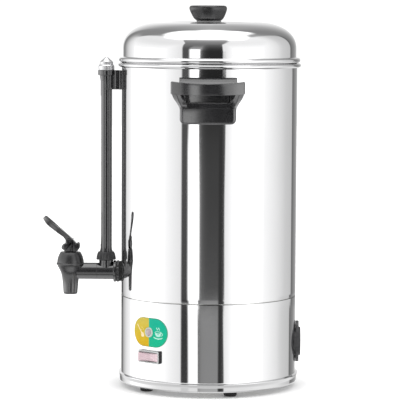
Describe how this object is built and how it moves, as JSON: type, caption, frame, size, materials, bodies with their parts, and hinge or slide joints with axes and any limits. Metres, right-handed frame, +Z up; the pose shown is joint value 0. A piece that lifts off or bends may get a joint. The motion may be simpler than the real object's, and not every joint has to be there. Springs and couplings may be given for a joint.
{
  "type": "coffee urn",
  "caption": "Free-standing steel percolator coffee urn with a domed lid, carry handles, a lever tap, a sight gauge beside the tank, a rocker switch and a rear power inlet.",
  "frame": {"origin": "on the tank's axis, in the plane of the feet's soles", "axes": "+Z up along the tank's axis, tap towards -Y, carry handles towards +X and -X, power inlet towards +Y"},
  "size_m": [0.3, 0.3251, 0.4778],
  "materials": {
    "polished_steel": "mirror-polished stainless sheet",
    "plain_steel": "mill finish stainless steel",
    "zinc_steel": "zinc-plated steel",
    "black_plastic": "semi-gloss black moulding",
    "collar_grey": "satin grey",
    "black_rubber": "matte black rubber",
    "seal_silicone": "pale silicone rubber",
    "gauge_glass": "clear glass tube",
    "bright_cap": "polished steel",
    "plate_print": "printed label sheet, half yellow and half green",
    "lamp_bezel": "pale moulded ring",
    "lamp_lens": "clear pinkish lens",
    "switch_frame": "glossy grey moulding",
    "switch_rocker": "translucent pale red",
    "nickel_brass": "nickel-plated brass",
    "heater_aluminium": "cast aluminium",
    "heater_sheath": "dark heat-tinted sheath",
    "terminal_ivory": "ivory moulding",
    "wire_insulation": "silicone insulation"
  },
  "bodies": {
    "urn": {"tank_shell": "polished_steel", "base_shell": "polished_steel", "tank_floor": "plain_steel", "base_plate": "zinc_steel", "feet": "black_rubber", "foot_screws": "zinc_steel", "tie_rods": "zinc_steel", "tie_nuts": "zinc_steel", "handle_right": "black_plastic", "handle_left": "black_plastic", "handle_inserts": "nickel_brass", "handle_washers": "seal_silicone", "handle_screws": "plain_steel", "tap_body": "black_plastic", "tap_bonnet": "black_plastic", "tap_spring": "plain_steel", "gauge_shank": "black_plastic", "shank_nut": "black_plastic", "shank_seals": "black_rubber", "shank_inner_nut": "plain_steel", "gauge_nut": "black_plastic", "gauge_seals": "seal_silicone", "sight_glass": "gauge_glass", "gauge_guard": "black_plastic", "gauge_bracket": "black_plastic", "bracket_screw": "plain_steel", "gauge_cap": "bright_cap", "control_plate": "plate_print", "pilot_lamp_bezel": "lamp_bezel", "pilot_lamp_lens": "lamp_lens", "switch_housing": "switch_frame", "power_inlet": "black_plastic", "inlet_pins": "nickel_brass", "inlet_screws": "zinc_steel", "inlet_nuts": "zinc_steel", "main_heater": "heater_aluminium", "warming_heater": "heater_sheath", "heater_clamp": "zinc_steel", "clamp_studs": "zinc_steel", "clamp_nuts": "zinc_steel", "brew_thermostat": "plain_steel", "boil_dry_cutout": "plain_steel", "terminal_block": "terminal_ivory", "wiring": "wire_insulation"},
    "brew_tube": {"pump_tube": "plain_steel", "pump_foot": "plain_steel"},
    "basket": {"coffee_basket": "plain_steel"},
    "spreader": {"basket_spreader": "plain_steel"},
    "lid": {"lid_shell": "polished_steel", "lid_knob": "black_plastic", "knob_collar": "collar_grey", "knob_screw": "plain_steel"},
    "stem": {"tap_stem": "plain_steel", "seat_cup": "seal_silicone"},
    "lever": {"tap_lever": "black_plastic", "lever_pin": "plain_steel"},
    "rocker": {"switch_rocker": "switch_rocker"}
  },
  "joints": [
    {"name": "tube_lift", "type": "slide", "parent": "urn", "child": "brew_tube", "axis": [0, 0, 1], "range_m": [0, 0.3]},
    {"name": "basket_lift", "type": "slide", "parent": "brew_tube", "child": "basket", "axis": [0, 0, 1], "range_m": [0, 0.11]},
    {"name": "spreader_lift", "type": "slide", "parent": "basket", "child": "spreader", "axis": [0, 0, 1], "range_m": [0, 0.025]},
    {"name": "lid_lift", "type": "slide", "parent": "spreader", "child": "lid", "axis": [0, 0, 1], "range_m": [0, 0.06]},
    {"name": "stem_lift", "type": "slide", "parent": "urn", "child": "stem", "axis": [0, 0, 1], "range_m": [0, 0.003], "stiffness_N_per_m": 800, "springref_m": -0.004, "deforming": ["tap_spring"]},
    {"name": "lever_tilt", "type": "hinge", "parent": "stem", "child": "lever", "pos_m": [0, -0.174, 0.1744], "axis": [1, 0, 0], "range_deg": [0, 30]},
    {"name": "rocker_tilt", "type": "hinge", "parent": "urn", "child": "rocker", "pos_m": [0.08275, -0.06846, 0.0474], "axis": [0, 0, 1], "range_deg": [-20, 0]}
  ],
  "couplings": [
    {"joint": "lever_tilt", "follows": "stem_lift", "rad_per_m": 174.5}
  ]
}
